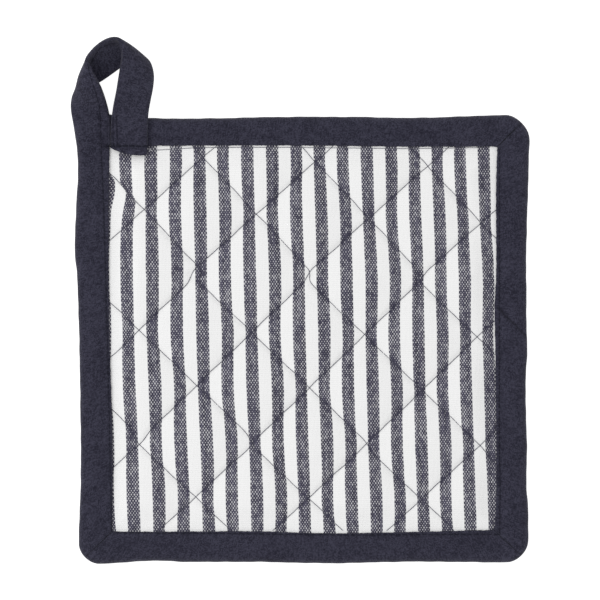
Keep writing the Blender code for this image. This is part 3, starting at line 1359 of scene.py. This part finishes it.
@dataclass(frozen=True)
class BoundEdge:
    """The navy strip that wraps the pad's edge, with three mitred corners, and ends as the loop."""

    top: Edge = Edge(TOP_SIDE, lambda along, out: (along, out), 0.7)
    right: Edge = Edge(RIGHT_SIDE, lambda along, out: (out, along), 1.9)
    bottom: Edge = Edge(BOTTOM_SIDE, lambda along, out: (along, -out), 3.1)
    left: Edge = Edge(LEFT_SIDE, lambda along, out: (-out, along), 4.3)
    right_top: Mitre = Mitre(10.5, 0.8, 90, 0.5, 0.6)
    right_bottom: Mitre = Mitre(9.5, 0.8, 0, 0.3, 0.45)
    left_bottom: Mitre = Mitre(9.0, 1.7, -90, 0.2, 0.45)
    turn_shares: tuple[float, ...] = (
        0.08, 0.17, 0.26, 0.34, 0.41, 0.455, 0.48, 0.495, 0.505, 0.52, 0.545, 0.59, 0.66, 0.74, 0.83, 0.92,
    )
    mitre_width: float = 0.026
    ridge_at: float = 0.44
    ridge_width: float = 0.05
    ridge: float = 0.2
    station_step: float = 1.0
    left_end: float = 98.6
    leaves_pad: float = 90.0
    off_pad: float = 103.0
    loop_from: float = 0.15
    leaving_share: float = 0.25
    loop_stations: int = 120
    loop_look: float = 0.25
    loop_half_thickness: float = 1.1
    eased_before: int = 8
    eased_after: int = 14
    ease_rounds: int = 12
    dip_shade: float = 1.6
    first_tuck: float = 0.8
    end_bow: float = 1.3
    fullness: float = 0.32
    fold_wobble: float = 0.08
    fold_wave: float = 23.0
    seam_wobble: float = 0.10
    seam_wave: float = 7.0
    pull_width: float = 0.55
    pull_depth: float = 0.35
    pull_shade: float = 1.1
    pulled_above: float = 4.5
    row_pull: float = 0.45
    strip_width: float = 14.0
    cut_width: float = 36.0
    sewn_places: KDTree = field(default_factory=lambda: place_tree([*STRIP_ROWS, LOOP_END_ROW]))
    join_and_loop_shadow_places: KDTree = field(default_factory=lambda: place_tree([STRIP_JOIN, LOOP_EDGE]))

    def side(self, edge: Edge, start: Place, stop: Place) -> list[Station]:
        """Runs along one side.

        Args:
            edge: the side.
            start: where the fold and the seam start along it.
            stop: where they stop.

        Returns:
            The stations.
        """
        table = np.array(edge.rows, float)
        count = max(round(abs(stop[0] - start[0]) / self.station_step), 2)
        stations = []
        for step in range(count + 1):
            share = step / count
            fold_at = start[0] + (stop[0] - start[0]) * share
            seam_at = start[1] + (stop[1] - start[1]) * share
            fold_out = read_rows(table, fold_at)[0] + self.fullness
            fold_out += self.fold_wobble * wander(fold_at, self.fold_wave, edge.seed)
            seam_out = read_rows(table, seam_at)[1]
            seam_out += self.seam_wobble * wander(seam_at, self.seam_wave, edge.seed + 1)
            fold = Vector((*edge.place(fold_at, fold_out), FOLD_HEIGHT))
            seam = Vector((*edge.place(seam_at, seam_out), SEAM_HEIGHT))
            stations.append(Station(fold, seam))
        return stations

    def turn(self, corner: Corner) -> list[Station]:
        """Fans round a mitred corner.

        Args:
            corner: the corner.

        Returns:
            The stations, closer together at the mitre.
        """
        mitre = corner.mitre
        stations = []
        for share in self.turn_shares:
            angle = math.radians(mitre.first_angle - 90 * share)
            out = Vector((math.cos(angle), math.sin(angle), 0))
            radius = mitre.radius + self.fullness - mitre.flat * math.sin(math.pi * share) ** 2
            fold = Vector((*corner.fold, FOLD_HEIGHT)) + out * radius
            seam = Vector((*corner.seam, SEAM_HEIGHT)) + out * mitre.seam_radius
            dip = mitre.depth * bell(share - 0.5, self.mitre_width)
            dip -= self.ridge * bell(share - self.ridge_at, self.ridge_width)
            stations.append(Station(fold, seam, dip=float(dip)))
        return stations

    def loop(self) -> list[Station]:
        """Follows the hanging loop, from where the strip leaves the pad to its sewn end.

        Returns:
            The stations.
        """
        table = numbered(LOOP_SECTIONS)
        last = len(LOOP_SECTIONS) - 1
        stations = []
        for at in np.linspace(self.loop_from, last, self.loop_stations):
            here = read_rows(table, at)
            ahead = read_rows(table, min(at + self.loop_look, last))
            behind = read_rows(table, max(at - self.loop_look, 0))
            forward = Vector((ahead[:3] + ahead[3:6]) - (behind[:3] + behind[3:6]))
            fold, seam = LOOP_CORNER + Vector(here[:3]), LOOP_CORNER + Vector(here[3:6])
            face = (seam - fold).cross(forward).normalized()
            held = self.held((fold.y + seam.y) / 2) if at < last * self.leaving_share else 0.0
            bow = self.end_bow * max(0.0, at - last + 1) ** 2
            stations.append(Station(fold, seam, face, float(here[6]), held, bow=bow))
        return stations

    def ease(self, stations: list[Station]) -> None:
        """Smooths the strip where its left side becomes the loop.

        Args:
            stations: the stations there, of which the first and the last stay.
        """
        for _ in range(self.ease_rounds):
            folds = [(a.fold + b.fold) / 2 for a, b in zip(stations, stations[2:])]
            seams = [(a.seam + b.seam) / 2 for a, b in zip(stations, stations[2:])]
            for station, fold, seam in zip(stations[1:-1], folds, seams):
                station.fold = station.fold.lerp(fold, 0.5)
                station.seam = station.seam.lerp(seam, 0.5)

    def held(self, y: float) -> float:
        """How far the pad still fills the strip on the left side: 1 on the pad, 0 in the loop."""
        return 1.0 - float(smooth_step((y - self.leaves_pad) / (self.off_pad - self.leaves_pad)))

    def stations(self) -> list[Station]:
        """Follows the whole strip: the top, the right, the bottom, the left, and then the loop.

        Returns:
            The stations.
        """
        top, right, bottom, left = (edge.rows for edge in (self.top, self.right, self.bottom, self.left))
        right_top = Corner.between(self.right_top, right[-1], top[-1], 1, 1)
        right_bottom = Corner.between(self.right_bottom, right[0], bottom[-1], 1, -1)
        left_bottom = Corner.between(self.left_bottom, left[0], bottom[0], -1, -1)
        first = -left[-1].seam - self.first_tuck
        run = self.side(self.top, (first, first), right_top.across)
        run += self.turn(right_top)
        run += self.side(self.right, right_top.up, right_bottom.up)
        run += self.turn(right_bottom)
        run += self.side(self.bottom, right_bottom.across, left_bottom.across)
        run += self.turn(left_bottom)
        left_side = self.side(self.left, left_bottom.up, (self.left_end, self.left_end))
        for station in left_side:
            station.on_pad = self.held(station.seam.y)
        run += left_side
        first_loop = len(run)
        run += self.loop()
        self.ease(run[first_loop - self.eased_before:first_loop + self.eased_after])
        run[0].run = first
        for before, station in zip(run, run[1:]):
            step = (station.fold + station.seam) - (before.fold + before.seam)
            station.run = before.run + step.length / 2
        return run

    def build(self, material: bpy.types.Material) -> bpy.types.Object:
        """Models the strip as one closed cloth skin.

        Args:
            material: the navy cotton.

        Returns:
            The strip, in place of the binding's and the loop's CAD solids.
        """
        stations = self.stations()
        shape = self.skin(stations)
        bmesh.ops.remove_doubles(shape, verts=shape.verts[:], dist=MERGED)
        bmesh.ops.holes_fill(shape, edges=[edge for edge in shape.edges if edge.is_boundary])
        piece = finish_piece("bound_edge_and_loop", shape, material)
        length = sum((ahead.fold - here.fold).length for here, ahead in zip(stations, stations[1:]))
        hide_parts("edge_binding", "hanging_loop")
        return piece

    def skin(self, stations: list[Station]) -> bmesh.types.BMesh:
        """Wraps a grid round the stations.

        Args:
            stations: the sections along the strip.

        Returns:
            The skin, still open at its ends and along one row.
        """
        ring = self.ring()
        columns, rows = len(stations) - 1, len(ring)
        widths = np.cumsum([0.0] + [
            math.hypot((b.share - a.share) * self.strip_width, b.height - a.height)
            for a, b in zip(ring, ring[1:] + ring[:1])
        ])
        shape = bmesh.new()
        bmesh.ops.create_grid(shape, x_segments=columns, y_segments=rows, size=1.0)
        cloth = shape.loops.layers.uv.new("cloth")
        worn_dye_and_painted_shade = shape.verts.layers.float.new("crease")
        cells = {
            vert: (round((vert.co.x + 1) / 2 * columns), round((vert.co.y + 1) / 2 * rows))
            for vert in shape.verts
        }
        for face in shape.faces:
            for loop in face.loops:
                column, row = cells[loop.vert]
                loop[cloth].uv = (stations[column].run, widths[row])
        for vert, (column, row) in cells.items():
            station = stations[column]
            vert.co = station.point(ring[row % rows], self.loop_half_thickness)
            # Painted shade: the crease layer darkens the strip in the grooves along the sewing, the join,
            # the loop's end edge and the mitres.
            sewn = self.near_sewing(vert.co) if vert.co.z > self.pulled_above else 0.0
            vert.co.z -= self.pull_depth * sewn
            vert[worn_dye_and_painted_shade] = max(self.pull_shade * sewn, station.dip * self.dip_shade, 0.0)
        return shape

    def near_sewing(self, place: Vector) -> float:
        """Feels how strongly sewing pulls the cloth in.

        Args:
            place: a point of the strip.

        Returns:
            0 clear of any sewing, up to 1 on the join of the strip and along the loop's end edge, where it
            also paints shadow.
        """
        rows = self.sewn_places.find((place.x, place.y, 0))[2]
        join = self.join_and_loop_shadow_places.find((place.x, place.y, 0))[2]
        return max(self.row_pull * float(bell(rows, self.pull_width)), float(bell(join, self.pull_width)))

    def ring(self) -> list[RingPoint]:
        """The strip's section with a point halfway between each two rows of its table."""
        table = numbered(STRIP_RING)
        return [RingPoint(*read_rows(table, half / 2)) for half in range(2 * len(STRIP_RING) - 1)]


# --- Sewing ------------------------------------------------------------------------------------


class Skin:
    """A cloth piece's surface, felt from above or from below."""

    far: float = 0.1  # metres above or below, where a ray starts
    usual: float = 0.005  # metres up, about where the front lies

    def __init__(self, piece: bpy.types.Object) -> None:
        """Takes the piece that thread is sewn through.

        Args:
            piece: the finished piece.
        """
        corners = [vert.co for vert in piece.data.vertices]
        faces = [tuple(face.vertices) for face in piece.data.polygons]
        self.tree = BVHTree.FromPolygons(corners, faces)

    def touch(self, x: float, y: float, side: int) -> Vector:
        """Feels for the surface, or for its nearest point where there is none.

        Args:
            x: where across.
            y: where up.
            side: 1 from above, -1 from below.

        Returns:
            The point, in millimetres.
        """
        hit = self.tree.ray_cast(Vector((x * MM, y * MM, side * self.far)), Vector((0, 0, -side)))[0]
        if not hit:
            hit = self.tree.find_nearest(Vector((x * MM, y * MM, self.usual)))[0]
        return Vector((x, y, hit.z / MM))


@dataclass(frozen=True)
class Stitching:
    """Lockstitch sewn along a path: each stitch rises from its needle hole and goes down again."""

    pitch: float = 2.9
    radius: float = 0.12
    sink: float = 0.08
    proud: float = 1.4
    gaps: int = 6

    def build(self, name: str, paths: Iterable[Path], skin: Skin,
              material: bpy.types.Material, side: int = 1) -> bpy.types.Object:
        """Models each row of stitches as one tube of thread.

        Args:
            name: the piece's name.
            paths: points along each sewn line.
            skin: the cloth that the thread lies on.
            material: the thread's finish.
            side: 1 for thread on the front, -1 for thread on the back.

        Returns:
            The thread.
        """
        curve = bpy.data.curves.new(name, "CURVE")
        curve.dimensions = "3D"
        curve.bevel_depth = self.radius * MM
        curve.bevel_resolution = 1
        curve.use_fill_caps = True
        for path in paths:
            thread = self.thread(path, skin, side)
            spline = curve.splines.new("POLY")
            spline.points.add(len(thread) - 1)
            for point, place in zip(spline.points, thread):
                point.co = (*(place * MM), 1.0)
        made = bpy.data.objects.new(name, curve)
        bpy.context.scene.collection.objects.link(made)
        mesh = bpy.data.meshes.new_from_object(made.evaluated_get(bpy.context.evaluated_depsgraph_get()))
        bpy.data.objects.remove(made)
        return add_piece(name, mesh, material)

    def thread(self, path: Path, skin: Skin, side: int) -> list[Vector]:
        """Lays the thread along a path: it dips into the cloth at each needle hole.

        Args:
            path: points along the sewn line.
            skin: the cloth that the thread lies on.
            side: 1 on the front, -1 on the back.

        Returns:
            Points along the thread.
        """
        thread = []
        for step, place in enumerate(spaced(path, self.pitch / self.gaps)):
            here = skin.touch(*place, side)
            share = 2 * (step % self.gaps) / self.gaps - 1
            here.z += side * (self.radius * self.proud - self.sink * abs(share) ** 3)
            thread.append(here)
        return thread


@dataclass(frozen=True)
class TopSeam:
    """The row of stitches that runs off the top binding onto the pad."""

    start: float = -67.0
    stop: float = 80.0
    step: float = 2.0
    below: float = 0.9
    left_bend: float = -46.0
    left_length: float = 20.0
    left_drop: float = 1.1
    right_bend: float = 45.0
    right_length: float = 35.0
    right_rise: float = 0.5

    def path(self) -> list[Place]:
        """Follows the row.

        Returns:
            Points along it, lowest beside the loop and highest at its right end.
        """
        table = np.array(TOP_SIDE, float)
        path = []
        for x in np.arange(self.start, self.stop, self.step):
            drop = self.left_drop * max(0.0, (self.left_bend - x) / self.left_length)
            rise = self.right_rise * max(0.0, (x - self.right_bend) / self.right_length)
            path.append((float(x), float(read_rows(table, x)[1]) - (self.below + drop - rise)))
        return path


@dataclass(frozen=True)
class Sewing:
    """All the thread that shows: the quilting on both faces, and the rows along the strip."""

    quilting: Quilting
    first_fall: int = -4
    first_rise: int = -1
    lines: int = 8
    shortest: int = 8
    top_seam: TopSeam = TopSeam()
    plain: Stitching = Stitching()
    heavy: Stitching = Stitching(radius=0.17, proud=0.2, sink=0.4)
    doubled: Stitching = Stitching(radius=0.36, proud=0.6, sink=0.8)
    cut_end: Stitching = Stitching(pitch=1.7, radius=0.16, proud=1.2, sink=0.1)
    dark: SewingThread = SewingThread()
    grey: SewingThread = SewingThread((0.09, 0.09, 0.11, 1.0))
    navy: SewingThread = SewingThread((0.008, 0.008, 0.014, 1.0))
    pale: SewingThread = SewingThread((0.4, 0.4, 0.42, 1.0))

    def quilting_paths(self) -> list[list[Place]]:
        """Collects the quilting lines that cross the pad, without stubs in its corners.

        Returns:
            Points along each line.
        """
        firsts = ((Family.FALLING, self.first_fall), (Family.RISING, self.first_rise))
        lines = [
            self.quilting.line(family, number)
            for family, first in firsts
            for number in range(first, first + self.lines)
        ]
        return [line for line in lines if len(line) > self.shortest]

    def build(self, pad: bpy.types.Object, strip: bpy.types.Object) -> None:
        """Sews every row.

        Args:
            pad: the pad's cloth.
            strip: the binding and the loop.
        """
        on_pad, on_strip = Skin(pad), Skin(strip)
        dark, grey = self.dark.make("dark_thread"), self.grey.make("grey_thread")
        navy, pale = self.navy.make("navy_thread"), self.pale.make("pale_yarn")
        lines = self.quilting_paths()
        self.plain.build("quilting_thread_front", lines, on_pad, dark)
        self.plain.build("quilting_thread_back", lines, on_pad, dark, -1)
        self.plain.build("top_seam_thread", [self.top_seam.path()], on_pad, grey)
        self.cut_end.build("cut_yarn_ends", YARN_ENDS, on_pad, pale)
        self.heavy.build("strip_thread", STRIP_ROWS, on_strip, navy)
        self.doubled.build("loop_end_thread", [LOOP_END_ROW], on_strip, navy)


# --- Studio ------------------------------------------------------------------------------------


@dataclass(frozen=True)
class Studio:
    """Plain pale floor, soft light from the upper left, and the camera straight above."""

    sky: float = 0.86
    window_power: float = 10.0
    window_size: float = 1.0
    window_place: tuple[float, float, float] = (-1.15, 0.1, 1.2)
    floor_size: float = 6.0
    floor_height: float = -0.0001
    clip_end: float = 10.0

    def build(self) -> None:
        """Sets the light, the floor and the camera."""
        self.light()
        self.lay_floor()
        self.place_camera()

    def light(self) -> None:
        """Lights the scene with a pale sky and one large window."""
        world = bpy.data.worlds.new("soft_sky")
        world.use_nodes = True
        sky = world.node_tree.nodes["Background"]
        sky.inputs["Color"].default_value = (1.0, 1.0, 1.0, 1.0)
        sky.inputs["Strength"].default_value = self.sky
        bpy.context.scene.world = world
        bpy.context.scene.view_settings.view_transform = "Standard"
        window = bpy.data.lights.new("window", "AREA")
        window.energy = self.window_power
        window.size = self.window_size
        lamp = bpy.data.objects.new("window", window)
        lamp.location = self.window_place
        lamp.rotation_euler = (-Vector(self.window_place)).to_track_quat("-Z", "Y").to_euler()
        bpy.context.scene.collection.objects.link(lamp)

    def lay_floor(self) -> None:
        """Lays the floor just under the pot holder."""
        shape = bmesh.new()
        bmesh.ops.create_grid(shape, x_segments=1, y_segments=1, size=self.floor_size / 2)
        mesh = bpy.data.meshes.new("floor")
        shape.to_mesh(mesh)
        shape.free()
        mesh.materials.append(PaleFloor().make())
        floor = bpy.data.objects.new("floor", mesh)
        floor.location.z = self.floor_height
        bpy.context.scene.collection.objects.link(floor)

    def place_camera(self) -> None:
        """Puts the camera above the pixel that is the middle of the photograph."""
        camera = bpy.data.cameras.new("camera")
        camera.lens = LENS
        camera.sensor_width = SENSOR
        camera.clip_end = self.clip_end
        middle = PHOTO_PIXELS / 2
        x = (middle - ORIGIN_PIXEL[0]) * PIXEL * MM
        y = (ORIGIN_PIXEL[1] - middle) * PIXEL * MM
        distance = LENS / SENSOR * PHOTO_PIXELS * PIXEL * MM
        seen = bpy.data.objects.new("camera", camera)
        seen.location = (x, y, distance + FOCAL_HEIGHT * MM)
        bpy.context.scene.collection.objects.link(seen)
        bpy.context.scene.camera = seen


def main() -> None:
    """Builds each piece in order and reports it."""
    logging.basicConfig(level=logging.INFO, format="%(message)s")
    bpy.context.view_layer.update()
    quilting = Quilting()
    pad = QuiltedPad(quilting, StripeLay()).build(StripedCotton().make())
    strip = BoundEdge().build(NavyCotton().make())
    Sewing(quilting).build(pad, strip)
    Studio().build()


if __name__ == "__main__":
    main()
